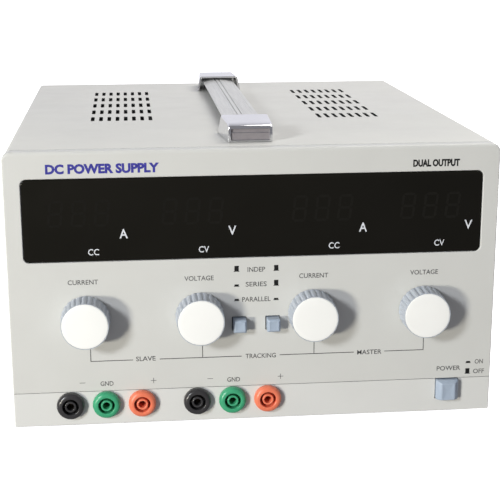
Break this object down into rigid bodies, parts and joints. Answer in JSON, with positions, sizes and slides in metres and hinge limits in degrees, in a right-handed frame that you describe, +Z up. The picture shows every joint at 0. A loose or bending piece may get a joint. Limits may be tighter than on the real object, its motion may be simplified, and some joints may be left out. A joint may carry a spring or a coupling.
{
  "type": "bench power supply",
  "caption": "Bench DC power supply with adjustable outputs, a wide display window, turn knobs, tracking buttons, shrouded sockets, a carrying strap and finned heat sinks.",
  "frame": {"origin": "middle of the overall footprint, on the surface under the feet", "axes": "+X to the right as the front is read, the front faces -Y, +Z up"},
  "size_m": [0.26, 0.329, 0.1692],
  "materials": {
    "case_plastic": "satin, light warm grey, fine texture",
    "painted_steel": "fine-textured warm grey powder coat",
    "zinc_sheet": "zinc plated",
    "smoked_acrylic": "gloss, very dark smoked",
    "display_plastic": "black digit modules with grey unlit segments",
    "chrome": "polished plating",
    "silver_plastic": "silver-grey moulding with fine ridges",
    "knob_grey": "satin blue-grey, fluted",
    "disc_white": "satin white",
    "shaft_steel": "turned",
    "pot_can": "pressed can",
    "button_grey": "satin blue-grey",
    "black_plastic": "satin black",
    "terminal_black": "gloss",
    "terminal_green": "gloss",
    "terminal_red": "gloss",
    "contact_brass": "turned",
    "foot_rubber": "matt",
    "heat_sink_black": "black anodised",
    "circuit_board": "green solder mask",
    "core_steel": "varnished laminations",
    "capacitor_can": "blue sleeve"
  },
  "bodies": {
    "case": {"front_fascia": "case_plastic", "terminal_strip": "case_plastic", "top_cover": "painted_steel", "rear_panel": "painted_steel", "front_subpanel": "zinc_sheet", "bottom_chassis": "zinc_sheet", "display_window": "smoked_acrylic", "digit_module_left": "display_plastic", "digit_module_right": "display_plastic", "handle_cap_front": "chrome", "handle_cap_rear": "chrome", "pot_slave_current": "pot_can", "pot_slave_voltage": "pot_can", "pot_master_current": "pot_can", "pot_master_voltage": "pot_can", "tracking_left_switch": "black_plastic", "tracking_right_switch": "black_plastic", "power_switch": "black_plastic", "mains_inlet": "black_plastic", "terminal_slave_negative": "terminal_black", "contact_slave_negative": "contact_brass", "terminal_slave_ground": "terminal_green", "contact_slave_ground": "contact_brass", "terminal_slave_positive": "terminal_red", "contact_slave_positive": "contact_brass", "terminal_master_negative": "terminal_black", "contact_master_negative": "contact_brass", "terminal_master_ground": "terminal_green", "contact_master_ground": "contact_brass", "terminal_master_positive": "terminal_red", "contact_master_positive": "contact_brass", "foot_front_left": "foot_rubber", "foot_front_right": "foot_rubber", "foot_rear_left": "foot_rubber", "foot_rear_right": "foot_rubber", "heat_sink_left": "heat_sink_black", "heat_sink_right": "heat_sink_black", "main_board": "circuit_board", "display_board": "circuit_board", "transformer": "core_steel", "capacitor_slave": "capacitor_can", "capacitor_master": "capacitor_can"},
    "knob_slave_current_body": {"knob_slave_current": "knob_grey", "knob_disc_slave_current": "disc_white", "shaft_slave_current": "shaft_steel"},
    "knob_slave_voltage_body": {"knob_slave_voltage": "knob_grey", "knob_disc_slave_voltage": "disc_white", "shaft_slave_voltage": "shaft_steel"},
    "knob_master_current_body": {"knob_master_current": "knob_grey", "knob_disc_master_current": "disc_white", "shaft_master_current": "shaft_steel"},
    "knob_master_voltage_body": {"knob_master_voltage": "knob_grey", "knob_disc_master_voltage": "disc_white", "shaft_master_voltage": "shaft_steel"},
    "tracking_left": {"tracking_left_button": "button_grey"},
    "tracking_right": {"tracking_right_button": "button_grey"},
    "power": {"power_button": "button_grey"},
    "handle": {"handle_strap": "silver_plastic"},
    "drawer": {"fuse_drawer": "black_plastic"}
  },
  "joints": [
    {"name": "slave_current_turn", "type": "hinge", "parent": "case", "child": "knob_slave_current_body", "pos_m": [-0.0903, -0.15085, 0.0697], "axis": [0, 1, 0], "range_deg": [-150, 150]},
    {"name": "slave_voltage_turn", "type": "hinge", "parent": "case", "child": "knob_slave_voltage_body", "pos_m": [-0.0301, -0.15085, 0.0697], "axis": [0, 1, 0], "range_deg": [-150, 150]},
    {"name": "master_current_turn", "type": "hinge", "parent": "case", "child": "knob_master_current_body", "pos_m": [0.0301, -0.15085, 0.0697], "axis": [0, 1, 0], "range_deg": [-150, 150]},
    {"name": "master_voltage_turn", "type": "hinge", "parent": "case", "child": "knob_master_voltage_body", "pos_m": [0.0903, -0.15085, 0.0697], "axis": [0, 1, 0], "range_deg": [-150, 150]},
    {"name": "tracking_left_press", "type": "slide", "parent": "case", "child": "tracking_left", "axis": [0, 1, 0], "range_m": [0, 0.0035], "stiffness_N_per_m": 300, "springref_m": -0.004},
    {"name": "tracking_right_press", "type": "slide", "parent": "case", "child": "tracking_right", "axis": [0, 1, 0], "range_m": [0, 0.0035], "stiffness_N_per_m": 300, "springref_m": -0.004},
    {"name": "power_press", "type": "slide", "parent": "case", "child": "power", "axis": [0, 1, 0], "range_m": [0, 0.004], "stiffness_N_per_m": 500, "springref_m": -0.005},
    {"name": "handle_lift", "type": "slide", "parent": "case", "child": "handle", "axis": [0, 0, 1], "range_m": [0, 0.001]},
    {"name": "fuse_drawer_pull", "type": "slide", "parent": "case", "child": "drawer", "axis": [0, 1, 0], "range_m": [0, 0.014]}
  ]
}
